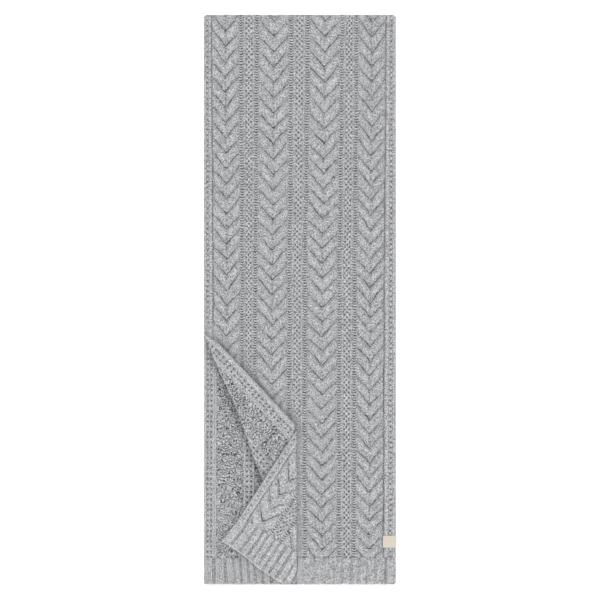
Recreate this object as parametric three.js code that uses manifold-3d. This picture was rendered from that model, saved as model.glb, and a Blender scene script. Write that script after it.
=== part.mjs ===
// A chunky cable-knit scarf, folded in half across its length and laid flat, face up. The lower left corner of
// its upper layer is turned over to the right and then back to the left. Millimetres: X runs across the scarf,
// Y towards the fold, Z up from the surface that it lies on.
import * as THREE from "three";
import { mergeVertices } from "three/addons/utils/BufferGeometryUtils.js";
import Module from "manifold-3d";

const wasm = await Module();
wasm.setup();

// The scarf's size, and its layers' heights
const SCARF_WIDTH = 300;
const FOLDED_LENGTH = 890;
const RIB_HEIGHT = 42.5;
const GAP = 0.3;
const WALL = 3;
const CABLE_RELIEF = 2.6;
const RIDGE_RELIEF = 0.9;
const MOSS_RELIEF = 0.55;
const RIB_RELIEF = 0.9;
const HEM_RELIEF = 1.1;
const REVERSE_WALL = 4.9;
const REVERSE_RELIEF = 0.6;
const EDGE_DROP = 1.6;
const EDGE_WIDTH = 1.2;

const LEFT_X = -SCARF_WIDTH / 2;
const RIGHT_X = SCARF_WIDTH / 2;
const FOLD_Y = FOLDED_LENGTH / 2;
const HEM_Y = -FOLD_Y;
const SEAM_Y = HEM_Y + RIB_HEIGHT;

const BACK_TOP = REVERSE_WALL + REVERSE_RELIEF;
const FRONT_UNDER = BACK_TOP + GAP;
const FRONT_GROUND = FRONT_UNDER + WALL;
const FRONT_TOP = FRONT_GROUND + CABLE_RELIEF;
const FLAP_UNDER = FRONT_TOP + GAP;
const FLAP_GROUND = FLAP_UNDER + WALL;
const FLAP_TOP = FLAP_GROUND + REVERSE_RELIEF;
const CORNER_UNDER = FLAP_TOP + GAP;
const CORNER_THICKNESS = WALL + CABLE_RELIEF;

// How far each fold reaches beyond the line where it starts to turn
const TOP_FOLD_REACH = FRONT_TOP / 2;
const FLAP_FOLD_REACH = (FLAP_TOP - FRONT_UNDER) / 2;
const CORNER_FOLD_REACH = (CORNER_UNDER + CORNER_THICKNESS - FLAP_UNDER) / 2;
const FOLD_STEPS = 6;
const JOIN = 1;
const BELOW = -5;
const ABOVE = 40;
const BEYOND = 20;

// Cables: centres across the scarf at the fold, halfway and at the hem, half the width, how far below the fold
// the first crossing comes, the repeat there, and how much each further repeat is shorter
const CABLES = [
  { centreTop: 33.5, centreHalfway: 36.3, centreHem: 34.6, half: 20.7, first: 24.9, repeat: 23.8, shorter: 0 },
  { centreTop: 110.2, centreHalfway: 106.8, centreHem: 104.4, half: 23.2, first: 32.7, repeat: 24.2, shorter: 0.024 },
  { centreTop: 190.2, centreHalfway: 184.6, centreHem: 184.2, half: 23.2, first: 32.7, repeat: 24.2, shorter: 0.036 },
  { centreTop: 263.4, centreHalfway: 260.0, centreHem: 258.4, half: 20.7, first: 34.2, repeat: 23.3, shorter: 0.012 },
];
const CABLE_RISE = 27;
const FIRST_REPEAT = -2;
const LAST_REPEAT = 38;

// One half of a cable, from its middle crease to its edge, as shares of the half width and of the relief
const CABLE_ACROSS = [
  { share: 0, height: 0.5 },
  { share: 0.3, height: 1 },
  { share: 0.72, height: 0.88 },
  { share: 1, height: 0 },
];
// One repeat of a cable, downwards from a crease
const CABLE_ALONG = [0.3, 1, 0.82];
const ROWS_A_REPEAT = CABLE_ALONG.length;

// Between two cables: a purl ladder, a knit column, moss stitch, a knit column and a purl ladder
const SPACER_ACROSS = [
  { share: 0.27, height: RIDGE_RELIEF },
  { share: 0.5, height: MOSS_RELIEF },
  { share: 0.73, height: RIDGE_RELIEF },
];
// From the scarf's edge to the first cable: a knit edge, moss stitch and a knit column
const BORDER_ACROSS = [
  { share: 0, height: RIDGE_RELIEF - EDGE_DROP },
  { share: 0.08, height: RIDGE_RELIEF },
  { share: 0.44, height: MOSS_RELIEF },
  { share: 0.82, height: RIDGE_RELIEF },
];
// The reverse side from its edge inwards, as distances and shares of its relief: the ladders stand up as ribs
const REVERSE_ACROSS = [
  { from: 0, height: -1.4 },
  { from: 1.2, height: 0.6 },
  { from: 6.5, height: 0.3 },
  { from: 14, height: 1 },
  { from: 18, height: 0.1 },
  { from: 54, height: 0.1 },
  { from: 60, height: 1 },
  { from: 66, height: 0.4 },
  { from: 80, height: 0.4 },
  { from: 86, height: 1 },
  { from: 91, height: 0.1 },
];
// Middles of the grooves between the hem's ribs, from the left edge
const RIB_GROOVES = [
  15.6, 32.4, 45.6, 56, 67.7, 78, 89, 102, 116, 130, 142, 156, 172.2, 188.8, 203, 216, 230, 242.5, 254.6, 268.2, 284.4,
];

// Where a rib's flat top starts and ends between two grooves
const RIB_TOP = [0.3, 0.7];

// The turned corner, in the plane: where its first fold leaves the left edge, the tip between the two folds,
// the corner itself, the end of its hem, and where each fold reaches the hem's seam
const FIRST_FOLD_START = new THREE.Vector2(-149, -53);
const FIRST_FOLD_END = new THREE.Vector2(-9, -402);
const TIP = new THREE.Vector2(-8.5, -202);
const CORNER = new THREE.Vector2(-122, -377);
const CORNER_HEM_END = new THREE.Vector2(-25, -441.5);
const SECOND_FOLD_SEAM = new THREE.Vector2(-4.4, -397);
const SECOND_FOLD_END = new THREE.Vector2(-4.4, -444.2);
const CORNER_SLACK = 48;
const CORNER_RIB_HEIGHT = 45.5;
// The turn at the second fold is a little lower than the cables beside it, and starts this far round the tip
const TURN_HEIGHT_SHARE = 0.9;
const TIP_ROUNDING = 4;
// The hem's last stretch runs level. The cloth of the corner is pulled longer, and holds this many repeats
const HEM_LEVEL_STEP = 6;
const CORNER_STRETCH = 1.07;
const CORNER_REPEATS = 12;
const BED_STEP = 8;
const FLAP_SPAN = 180;

// The label: how far in from the right edge it reaches, and its lower and upper ends
const LABEL_WIDTH = 20;
const LABEL_BOTTOM_Y = -387;
const LABEL_TOP_Y = -368.4;
const LABEL_THICKNESS = 0.8;

const clothMaterial = (color) => new THREE.MeshStandardMaterial({ color, roughness: 0.95, metalness: 0 });
const WOOL = "#a9aaac";
const WOOL_REVERSE = "#a3a4a6";
const LABEL_CLOTH = "#ddd3c6";

// A closed solid from a geometry whose faces point out
function solidOf(geometry) {
  const bare = new THREE.BufferGeometry().setAttribute("position", geometry.getAttribute("position"));
  if (geometry.index) bare.setIndex(geometry.index);
  const merged = mergeVertices(bare, 1e-4);
  return new wasm.Manifold(
    new wasm.Mesh({
      numProp: 3,
      vertProperties: Float32Array.from(merged.attributes.position.array),
      triVerts: Uint32Array.from(merged.index.array),
    }),
  );
}

// A solid from rows of points seen from above, closed by the same net of points laid out flat below
function sheetSolid(rows) {
  const columns = rows[0].length;
  const positions = [];
  for (const row of rows) for (const point of row) positions.push(point.x, point.y, point.z);
  for (const row of rows) for (const point of row) positions.push(point.x, point.y, BELOW);
  const lower = rows.length * columns;
  const faces = [];
  const quad = (a, b, c, d) => faces.push(a, b, c, a, c, d);
  for (let j = 0; j + 1 < rows.length; j++) {
    for (let i = 0; i + 1 < columns; i++) {
      const a = j * columns + i;
      const b = a + 1;
      const c = b + columns;
      const d = a + columns;
      quad(a, b, c, d);
      quad(lower + a, lower + d, lower + c, lower + b);
    }
  }
  const rim = [];
  for (let i = 0; i + 1 < columns; i++) rim.push(i);
  for (let j = 0; j + 1 < rows.length; j++) rim.push(j * columns + columns - 1);
  for (let i = columns - 1; i > 0; i--) rim.push((rows.length - 1) * columns + i);
  for (let j = rows.length - 1; j > 0; j--) rim.push(j * columns);
  rim.forEach((here, k) => {
    const next = rim[(k + 1) % rim.length];
    quad(here, lower + here, lower + next, next);
  });
  const geometry = new THREE.BufferGeometry();
  geometry.setAttribute("position", new THREE.Float32BufferAttribute(positions, 3));
  geometry.setIndex(faces);
  return solidOf(geometry);
}

// An upright block over an outline
function prism(outline, low, high) {
  const geometry = new THREE.ExtrudeGeometry(new THREE.Shape(outline), { depth: high - low, bevelEnabled: false });
  geometry.translate(0, 0, low);
  return solidOf(geometry);
}

const rectangle = (left, right, front, back) => [
  new THREE.Vector2(left, front),
  new THREE.Vector2(right, front),
  new THREE.Vector2(right, back),
  new THREE.Vector2(left, back),
];

// The round turn of the cloth along a fold. A station has the point where the turn starts, the direction out of
// the fold, how far the turn reaches that way, and its lowest and highest levels
function foldTurn(stations) {
  const positions = [];
  for (const { start, out, reach, low, high } of stations) {
    for (let k = 0; k <= FOLD_STEPS; k++) {
      const angle = (k / FOLD_STEPS - 0.5) * Math.PI;
      const away = reach * Math.cos(angle);
      const level = (low + high) / 2 + ((high - low) / 2) * Math.sin(angle);
      positions.push(start.x + out.x * away, start.y + out.y * away, level);
    }
  }
  const ring = FOLD_STEPS + 1;
  const faces = [];
  for (let j = 0; j + 1 < stations.length; j++) {
    for (let k = 0; k < ring; k++) {
      const a = j * ring + k;
      const b = j * ring + ((k + 1) % ring);
      faces.push(a, b, b + ring, a, b + ring, a + ring);
    }
  }
  const last = (stations.length - 1) * ring;
  for (let k = 1; k + 1 < ring; k++) {
    faces.push(0, k + 1, k);
    faces.push(last, last + k, last + k + 1);
  }
  const geometry = new THREE.BufferGeometry();
  geometry.setAttribute("position", new THREE.Float32BufferAttribute(positions, 3));
  geometry.setIndex(faces);
  const solid = solidOf(geometry);
  if (solid.volume() > 0) return solid;
  // The stations ran the other way, so the faces are turned round
  geometry.setIndex(faces.reverse());
  return solidOf(geometry);
}

const meshOf = (name, solid, material) => {
  const { numProp, vertProperties, triVerts } = solid.getMesh();
  const geometry = new THREE.BufferGeometry();
  const positions = [];
  for (let i = 0; i < vertProperties.length; i += numProp) {
    positions.push(vertProperties[i], vertProperties[i + 1], vertProperties[i + 2]);
  }
  geometry.setAttribute("position", new THREE.Float32BufferAttribute(positions, 3));
  geometry.setIndex(Array.from(triVerts));
  geometry.computeVertexNormals();
  const mesh = new THREE.Mesh(geometry, material);
  mesh.name = name;
  return mesh;
};

const mix = (a, b, share) => a + (b - a) * share;
const smooth = (low, high, value) => THREE.MathUtils.smoothstep(value, low, high);

// A height read from a table of distances
function readAcross(table, distance) {
  const next = table.findIndex((row) => row.from > distance);
  if (next < 0) return table[table.length - 1].height;
  const a = table[next - 1];
  const b = table[next];
  return mix(a.height, b.height, (distance - a.from) / (b.from - a.from));
}

// A cable's centre at a distance below the fold
function centreAt(cable, down) {
  const half = FOLDED_LENGTH / 2;
  return down < half
    ? mix(cable.centreTop, cable.centreHalfway, down / half)
    : mix(cable.centreHalfway, cable.centreHem, (down - half) / half);
}

// How far below the fold a cable's row lies on its centre line
const rowDown = (cable, repeat) => cable.first + cable.repeat * repeat - cable.shorter * repeat * repeat;

// The knit's columns of points. Each gives its place across and down, and its relief, for a row of the cables
function clothColumns() {
  const cableColumn = (cable, side, { share, height }) => ({
    place(row) {
      const down = rowDown(cable, row / ROWS_A_REPEAT) - CABLE_RISE * share;
      return { across: centreAt(cable, down) + side * share * cable.half, down };
    },
    relief: (row) => {
      const phase = ((row % ROWS_A_REPEAT) + ROWS_A_REPEAT) % ROWS_A_REPEAT;
      return CABLE_RELIEF * height * CABLE_ALONG[phase];
    },
  });
  const between = (before, after, { share, height }) => ({
    place(row) {
      const a = before.place(row);
      const b = after.place(row);
      return { across: mix(a.across, b.across, share), down: mix(a.down, b.down, share) };
    },
    relief: () => height,
  });
  const columns = [];
  const edges = CABLES.map((cable) => {
    const inner = CABLE_ACROSS[CABLE_ACROSS.length - 1];
    return { left: cableColumn(cable, -1, inner), right: cableColumn(cable, 1, inner) };
  });
  const edgeOf = (neighbour, across) => ({
    place: (row) => ({ across, down: neighbour.place(row).down }),
    relief: () => 0,
  });
  const leftEdge = edgeOf(edges[0].left, 0);
  const rightEdge = edgeOf(edges[edges.length - 1].right, SCARF_WIDTH);
  for (const row of BORDER_ACROSS) columns.push(between(leftEdge, edges[0].left, row));
  CABLES.forEach((cable, index) => {
    if (index > 0) {
      for (const row of SPACER_ACROSS) columns.push(between(edges[index - 1].right, edges[index].left, row));
    }
    for (const row of [...CABLE_ACROSS].reverse()) columns.push(cableColumn(cable, -1, row));
    for (const row of CABLE_ACROSS.slice(1)) columns.push(cableColumn(cable, 1, row));
  });
  for (const row of [...BORDER_ACROSS].reverse()) {
    columns.push(between(rightEdge, edges[edges.length - 1].right, row));
  }
  return columns;
}

const highestRelief = (column) => Math.max(...CABLE_ALONG.map((_, row) => column.relief(row)));

// The face of the cloth as rows of points, each laid out by lay(across, down, relief)
function faceRows(columns, firstRow, lastRow, lay) {
  const rows = [];
  for (let row = lastRow; row >= firstRow; row--) {
    rows.push(
      columns.map((column) => {
        const { across, down } = column.place(row);
        return lay(across, down, column.relief(row));
      }),
    );
  }
  return rows;
}

const columns = clothColumns();
const firstRow = FIRST_REPEAT * ROWS_A_REPEAT;
const lastRow = LAST_REPEAT * ROWS_A_REPEAT;

// The two folds of the corner. The cloth turns at a line that lies inside the fold's outer edge
const firstFoldAlong = FIRST_FOLD_END.clone().sub(FIRST_FOLD_START).normalize();
const firstFoldOut = new THREE.Vector2(firstFoldAlong.y, -firstFoldAlong.x);
const distanceInside = (point) => -point.clone().sub(FIRST_FOLD_START).dot(firstFoldOut);
const secondFoldOut = new THREE.Vector2(1, 0);
const insideFirstFold = (point, inset) => point.clone().addScaledVector(firstFoldOut, -inset);

// The front panel, its left side cut back along the first fold
function frontPanel() {
  const lay = (across, down, relief) => new THREE.Vector3(LEFT_X + across, FOLD_Y - down, FRONT_GROUND + relief);
  const face = sheetSolid(faceRows(columns, firstRow, lastRow, lay));
  const turnStart = FOLD_Y - TOP_FOLD_REACH;
  const inset = FLAP_FOLD_REACH + GAP;
  const outline = [
    new THREE.Vector2(LEFT_X - BEYOND, turnStart + JOIN),
    new THREE.Vector2(LEFT_X - BEYOND, FIRST_FOLD_START.y + BEYOND),
    new THREE.Vector2(LEFT_X, FIRST_FOLD_START.y + GAP),
    insideFirstFold(FIRST_FOLD_START, inset),
    insideFirstFold(FIRST_FOLD_END, inset),
    new THREE.Vector2(SECOND_FOLD_SEAM.x, SEAM_Y + GAP / 2),
    new THREE.Vector2(RIGHT_X + BEYOND, SEAM_Y + GAP / 2),
    new THREE.Vector2(RIGHT_X + BEYOND, turnStart + JOIN),
  ];
  const stations = columns.map((column) => {
    return {
      start: new THREE.Vector2(LEFT_X + column.place(0).across, turnStart),
      out: new THREE.Vector2(0, 1),
      reach: TOP_FOLD_REACH,
      low: 0,
      high: FRONT_GROUND + highestRelief(column),
    };
  });
  return face.intersect(prism(outline, FRONT_UNDER, ABOVE)).add(foldTurn(stations));
}

// A sheet whose section across is one table, from its edge inwards, laid out by place(across, along)
function reverseRows(farthest, alongs, ground, place) {
  const table = REVERSE_ACROSS.filter((row) => row.from < farthest);
  table.push({ from: farthest, height: readAcross(REVERSE_ACROSS, farthest) });
  return alongs.map((along) =>
    table.map((row) => {
      const at = place(row.from, along);
      return new THREE.Vector3(at.x, at.y, ground + row.height * REVERSE_RELIEF);
    }),
  );
}

// The back panel, with its reverse side up. Its left part shows beside the turned corner
function backPanel() {
  const rows = reverseRows(SCARF_WIDTH / 2, [SEAM_Y - JOIN, FOLD_Y], REVERSE_WALL, (across, along) => ({
    x: LEFT_X + across,
    y: along,
  }));
  for (const row of rows) {
    const mirrored = [...row].reverse().slice(1);
    row.push(...mirrored.map((point) => new THREE.Vector3(-point.x, point.y, point.z)));
  }
  const outline = rectangle(
    LEFT_X - BEYOND,
    RIGHT_X + BEYOND,
    SEAM_Y + GAP / 2,
    FOLD_Y - TOP_FOLD_REACH - GAP,
  );
  return sheetSolid(rows).intersect(prism(outline, 0, ABOVE));
}

// The flap between the two folds. Its edge is the scarf's left edge, which now runs down to the right
function turnedFlap() {
  const edge = TIP.clone().sub(FIRST_FOLD_START).normalize();
  const inward = new THREE.Vector2(edge.y, -edge.x);
  const place = (across, along) =>
    FIRST_FOLD_START.clone().addScaledVector(edge, along).addScaledVector(inward, across);
  const alongs = [-BEYOND, FOLDED_LENGTH / 2];
  const face = sheetSolid(reverseRows(FLAP_SPAN, alongs, FLAP_GROUND, place));
  const right = SECOND_FOLD_SEAM.x - CORNER_FOLD_REACH - GAP;
  const turnTop = insideFirstFold(FIRST_FOLD_START, FLAP_FOLD_REACH);
  const turnEnd = insideFirstFold(FIRST_FOLD_END, FLAP_FOLD_REACH);
  const point = (share) => turnTop.clone().lerp(turnEnd, share);
  const closed = (right - turnTop.x) / (turnEnd.x - turnTop.x);
  const outline = [
    insideFirstFold(point(0), -JOIN),
    insideFirstFold(point(closed), -JOIN),
    point(closed),
    new THREE.Vector2(right, TIP.y + BEYOND),
    new THREE.Vector2(FIRST_FOLD_START.x + BEYOND, FIRST_FOLD_START.y + BEYOND),
  ];
  const turn = foldTurn(
    [
      { share: 0.03, high: FLAP_UNDER },
      { share: 0.1, high: FLAP_TOP },
      { share: closed, high: FLAP_TOP },
    ].map(({ share, high }) => ({
      start: point(share),
      out: firstFoldOut,
      reach: FLAP_FOLD_REACH,
      low: FRONT_UNDER,
      high,
    })),
  );
  return face.intersect(prism(outline, FLAP_UNDER, ABOVE)).add(turn);
}

// The corner's own frame: along its hem from the corner, and up its edge
const cornerUp = TIP.clone().sub(CORNER).normalize();
const cornerAcross = new THREE.Vector2(cornerUp.y, -cornerUp.x);
const cornerPlace = (across, up) =>
  CORNER.clone().addScaledVector(cornerAcross, across).addScaledVector(cornerUp, up);

// The level of the corner's underside: on the flap as far as the first fold, then sinking to the back panel,
// and sinking to it as well where the two folds run together at the hem
function cornerUnder(point) {
  const onFlap = smooth(-CORNER_SLACK, 0, distanceInside(point));
  const awayFromHem = smooth(HEM_Y, SEAM_Y + GAP, point.y);
  return mix(FRONT_UNDER, CORNER_UNDER, onFlap * awayFromHem);
}

// What lies under the corner, as a solid to cut away
function cornerBed() {
  const rows = [];
  for (let y = HEM_Y - BEYOND; y < TIP.y + 2 * BEYOND; y += BED_STEP) {
    const row = [];
    for (let x = CORNER.x - BEYOND; x < SECOND_FOLD_END.x + BEYOND; x += BED_STEP) {
      row.push(new THREE.Vector3(x, y, cornerUnder(new THREE.Vector2(x, y))));
    }
    rows.push(row);
  }
  return sheetSolid(rows);
}

// The second fold's turn, down to the hem
function cornerTurn() {
  const inner = SECOND_FOLD_SEAM.x - CORNER_FOLD_REACH;
  const places = [
    TIP.y + TIP_ROUNDING,
    TIP.y - TIP_ROUNDING,
    SECOND_FOLD_SEAM.y,
    mix(SEAM_Y, HEM_Y, 0.5),
    SECOND_FOLD_END.y,
  ];
  const stations = places.map((y) => {
    const under = cornerUnder(new THREE.Vector2(inner, y));
    const low = Math.max(FRONT_UNDER, under - (CORNER_UNDER - FLAP_UNDER));
    return {
      start: new THREE.Vector2(inner, y),
      out: secondFoldOut,
      reach: CORNER_FOLD_REACH,
      low,
      high: under + CORNER_THICKNESS * TURN_HEIGHT_SHARE,
    };
  });
  return foldTurn(stations);
}

const cornerOutline = [
  CORNER,
  CORNER_HEM_END,
  new THREE.Vector2(CORNER_HEM_END.x + HEM_LEVEL_STEP, SECOND_FOLD_END.y),
  new THREE.Vector2(SECOND_FOLD_SEAM.x - CORNER_FOLD_REACH + JOIN, SECOND_FOLD_END.y),
  new THREE.Vector2(SECOND_FOLD_SEAM.x - CORNER_FOLD_REACH + JOIN, TIP.y + TIP_ROUNDING),
  TIP,
];

// A piece of the corner: its face cut to the outline, off its bed, and between two heights above the hem
function cornerPiece(face, bed, lowest, highest) {
  const band = [
    cornerPlace(-BEYOND, lowest),
    cornerPlace(SCARF_WIDTH, lowest),
    cornerPlace(SCARF_WIDTH, highest),
    cornerPlace(-BEYOND, highest),
  ];
  return face
    .intersect(prism(cornerOutline, 0, ABOVE))
    .subtract(bed)
    .add(cornerTurn())
    .intersect(prism(band, 0, ABOVE));
}

function turnedCorner(bed) {
  const near = columns.filter((column) => column.place(0).across < SCARF_WIDTH / 2 + BEYOND);
  const lay = (across, down, relief) => {
    const at = cornerPlace(across, (FOLDED_LENGTH - down) * CORNER_STRETCH);
    return new THREE.Vector3(at.x, at.y, cornerUnder(at) + WALL + relief);
  };
  const face = sheetSolid(faceRows(near, lastRow - CORNER_REPEATS * ROWS_A_REPEAT, lastRow, lay));
  return cornerPiece(face, bed, CORNER_RIB_HEIGHT + GAP / 2, FOLDED_LENGTH);
}

// The ribs' columns: grooves at their places with a round rib between each two
function ribColumns(farthest) {
  const columnsAcross = [
    { across: 0, relief: HEM_RELIEF - EDGE_DROP },
    { across: EDGE_WIDTH, relief: HEM_RELIEF },
  ];
  const grooves = RIB_GROOVES.filter((groove) => groove < farthest);
  grooves.forEach((groove, index) => {
    const next = grooves[index + 1] ?? farthest;
    columnsAcross.push({ across: groove, relief: HEM_RELIEF - RIB_RELIEF });
    for (const share of RIB_TOP) columnsAcross.push({ across: mix(groove, next, share), relief: HEM_RELIEF });
  });
  return columnsAcross;
}

// Rows of a ribbed end, rounded off at the hem, laid out by lay(across, up, relief)
function ribRows(ribs, ups, lay) {
  return ups.map((up, row) => ribs.map(({ across, relief }) => lay(across, up, row === 0 ? relief - EDGE_DROP : relief)));
}

function cornerRibHem(bed) {
  const ribs = ribColumns(SCARF_WIDTH / 2 + BEYOND);
  const ups = [0, EDGE_WIDTH, CORNER_RIB_HEIGHT / 3, (CORNER_RIB_HEIGHT * 2) / 3, CORNER_RIB_HEIGHT + JOIN];
  const face = sheetSolid(
    ribRows(ribs, ups, (across, up, relief) => {
      const at = cornerPlace(across, up);
      return new THREE.Vector3(at.x, at.y, cornerUnder(at) + WALL + relief);
    }),
  );
  return cornerPiece(face, bed, -FOLDED_LENGTH, CORNER_RIB_HEIGHT - GAP / 2);
}

// A flat ribbed end between two sides
function ribHem(left, under, ground) {
  const ribs = ribColumns(SCARF_WIDTH);
  ribs.push({ across: SCARF_WIDTH, relief: HEM_RELIEF - EDGE_DROP });
  const rows = ribRows(ribs, [0, EDGE_WIDTH, RIB_HEIGHT + JOIN], (across, up, relief) => {
    return new THREE.Vector3(LEFT_X + across, HEM_Y + up, ground + relief);
  });
  const outline = rectangle(left, RIGHT_X + BEYOND, HEM_Y - BEYOND, SEAM_Y - GAP / 2);
  return sheetSolid(rows).intersect(prism(outline, under, ABOVE));
}

// The label's leaf on the right border, turned down over the edge
function label() {
  const cloth = columns
    .map((column) => ({
      x: LEFT_X + column.place(lastRow).across,
      z: FRONT_GROUND + Math.max(highestRelief(column), RIDGE_RELIEF) + GAP,
    }))
    .filter(({ x }) => x > RIGHT_X - 2 * LABEL_WIDTH && x < RIGHT_X);
  const edge = RIGHT_X + GAP;
  const flat = FRONT_GROUND + RIDGE_RELIEF + GAP;
  const section = [
    ...cloth.map(({ x, z }) => new THREE.Vector2(x, z)),
    new THREE.Vector2(edge, flat - EDGE_WIDTH / 2),
    new THREE.Vector2(edge, FRONT_UNDER),
    new THREE.Vector2(edge + LABEL_THICKNESS, FRONT_UNDER),
    new THREE.Vector2(edge + LABEL_THICKNESS, flat),
    new THREE.Vector2(edge, flat + LABEL_THICKNESS),
    ...cloth.reverse().map(({ x, z }) => new THREE.Vector2(x, z + LABEL_THICKNESS)),
  ];
  const geometry = new THREE.ExtrudeGeometry(new THREE.Shape(section), {
    depth: LABEL_TOP_Y - LABEL_BOTTOM_Y,
    bevelEnabled: false,
  });
  geometry.rotateX(Math.PI / 2);
  geometry.translate(0, LABEL_TOP_Y, 0);
  const keep = rectangle(RIGHT_X - LABEL_WIDTH, RIGHT_X + BEYOND, LABEL_BOTTOM_Y - BEYOND, LABEL_TOP_Y + BEYOND);
  return solidOf(geometry).intersect(prism(keep, 0, ABOVE));
}

const bed = cornerBed();
const scarf = new THREE.Group();
scarf.add(
  meshOf("back_panel", backPanel(), clothMaterial(WOOL_REVERSE)),
  meshOf("back_rib_hem", ribHem(LEFT_X - BEYOND, 0, REVERSE_WALL - HEM_RELIEF), clothMaterial(WOOL_REVERSE)),
  meshOf("front_panel", frontPanel(), clothMaterial(WOOL)),
  meshOf("front_rib_hem", ribHem(SECOND_FOLD_SEAM.x + GAP, FRONT_UNDER, FRONT_GROUND), clothMaterial(WOOL)),
  meshOf("turned_flap", turnedFlap(), clothMaterial(WOOL_REVERSE)),
  meshOf("turned_corner", turnedCorner(bed), clothMaterial(WOOL)),
  meshOf("corner_rib_hem", cornerRibHem(bed), clothMaterial(WOOL)),
  meshOf("label", label(), clothMaterial(LABEL_CLOTH)),
);

export default scarf;
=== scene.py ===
"""A chunky cable-knit scarf, folded in half and laid flat.

One corner of its upper layer is turned over at a first fold, and back again at a second.
Lengths in this file are in millimetres, as a knitter measures them, and MM turns them into Blender's metres.
A place in the cloth is given by its distance across from the left edge and down from the middle fold.
One description of the knit gives every layer its relief and its stitches from these two.
"""

import math
from collections import namedtuple

import bpy
import numpy as np
from bpy.props import FloatProperty, FloatVectorProperty, PointerProperty
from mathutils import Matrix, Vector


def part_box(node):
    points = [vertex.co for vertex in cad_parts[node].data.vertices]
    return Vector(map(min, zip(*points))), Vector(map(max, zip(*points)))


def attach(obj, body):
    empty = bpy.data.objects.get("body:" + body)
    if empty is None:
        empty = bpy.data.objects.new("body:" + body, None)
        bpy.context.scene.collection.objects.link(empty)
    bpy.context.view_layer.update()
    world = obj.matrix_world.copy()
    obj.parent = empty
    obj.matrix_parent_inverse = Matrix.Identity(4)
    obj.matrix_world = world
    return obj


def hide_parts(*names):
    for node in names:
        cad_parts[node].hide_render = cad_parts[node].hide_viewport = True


bl_info = {
    "name": "Cable-knit scarf",
    "version": (1, 0, 0),
    "blender": (4, 5, 0),
    "location": "3D View > Sidebar > Scarf",
    "description": "Builds a folded cable-knit scarf with a turned corner",
    "category": "Add Mesh",
}

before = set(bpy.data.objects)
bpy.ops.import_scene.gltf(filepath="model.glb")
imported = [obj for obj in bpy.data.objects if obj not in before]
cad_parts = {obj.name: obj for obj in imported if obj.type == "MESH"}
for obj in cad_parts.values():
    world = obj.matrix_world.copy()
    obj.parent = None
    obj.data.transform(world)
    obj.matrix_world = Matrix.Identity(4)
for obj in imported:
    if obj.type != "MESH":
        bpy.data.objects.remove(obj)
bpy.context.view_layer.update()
MM = 0.001


def node_box(node):
    """A node's lowest and highest corners, in millimetres."""
    low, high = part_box(node)
    return np.array(low) / MM, np.array(high) / MM


# Places taken from the frame
PANEL_LOW, PANEL_HIGH = node_box("front_panel")
HEM_LOW, HEM_HIGH = node_box("front_rib_hem")
BACK_HIGH = node_box("back_panel")[1]
FLAP_HIGH = node_box("turned_flap")[1]
SECOND_FOLD_X = node_box("turned_corner")[1][0]
CORNER_HEM_Y = node_box("corner_rib_hem")[0][1]
LABEL_LOW, LABEL_HIGH = node_box("label")
LEFT, RIGHT = PANEL_LOW[0], PANEL_HIGH[0]
WIDTH = RIGHT - LEFT
FOLD_Y, HEM_Y = PANEL_HIGH[1], HEM_LOW[1]
LENGTH = FOLD_Y - HEM_Y
SEAM_Y = (PANEL_LOW[1] + HEM_HIGH[1]) / 2
RIB_HEIGHT = SEAM_Y - HEM_Y
BACK_TOP = BACK_HIGH[2]
FRONT_UNDER, FRONT_TOP = HEM_LOW[2], PANEL_HIGH[2]
FLAP_TOP = FLAP_HIGH[2]
BACK_START, HEM_START = FOLD_Y - BACK_HIGH[1], LENGTH - RIB_HEIGHT

# The cloth's thickness, the gap between layers and the levels that follow
WALL = 3.0
GAP = 0.3
FRONT_GROUND = FRONT_UNDER + WALL
CABLE_RELIEF = FRONT_TOP - FRONT_GROUND
FLAP_UNDER = FRONT_TOP + GAP
FLAP_GROUND = FLAP_UNDER + WALL
CORNER_UNDER = FLAP_TOP + GAP
REVERSE_SUNK = 0.7
REVERSE_GROUND = BACK_TOP - REVERSE_SUNK
# The lower layer is two sheets, one on the other
SHEET_FLOOR = 0.01
BACK_FACE_THICKNESS = 0.98
BACK_CLOTH_UNDER = 1.0
# How far each kind of stitch stands up
KNIT_COLUMN_RELIEF = 0.95
LADDER_RELIEF = 0.25
MOSS_RELIEF = 1.0
MOSS_GROUND = 0.1
RIB_GROUND = 1.1
RIB_GROOVE = 0.7
ROUGH_RELIEF = 0.5
REVERSE_SHARE = 0.8
# The rounding of edges, a sheet's thickness as a share of the wall, and how uneven the upper layer lies
EDGE_ROUND = 1.1
SHEET_SHARE = 0.7
FRONT_UNEVEN = 0.25

# The knit: the height of a row, the width of a column of stitches, and the rows along a cable's strands
ROW = 4.07
WALE = 3.45
STRAND_ROW = 2.5
# Places this close together are the same
TOUCHING = 1e-6
COLUMN, LADDER, MOSS, CABLE, RIB, ROUGH, GROOVE = range(7)

# Each cable: its centre across the scarf at the fold, halfway and at the hem, half its width, how far below
# the fold its first crossing comes, the repeat there, how much shorter the repeats get, and how far its
# strands climb from the middle outwards, at the fold and at the hem
Cable = namedtuple("Cable", "centres half first repeat shorter rise")
CABLES = (
    Cable((33.5, 36.3, 34.6), half=20.7, first=24.9, repeat=23.8, shorter=0.0001, rise=(26, 23)),
    Cable((110.2, 106.8, 104.4), half=23.2, first=32.7, repeat=24.2, shorter=0.024, rise=(26, 24)),
    Cable((190.2, 184.6, 184.2), half=23.2, first=32.7, repeat=24.2, shorter=0.036, rise=(26, 24)),
    Cable((263.4, 260.0, 258.4), half=20.7, first=34.2, repeat=23.3, shorter=0.012, rise=(27, 23)),
)
# The share of the relief that is left in a crease and in the middle, and how far out the middle reaches
CREASE_SHARE, MIDDLE_SHARE, MIDDLE_REACH = 0.12, 0.45, 0.22
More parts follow.
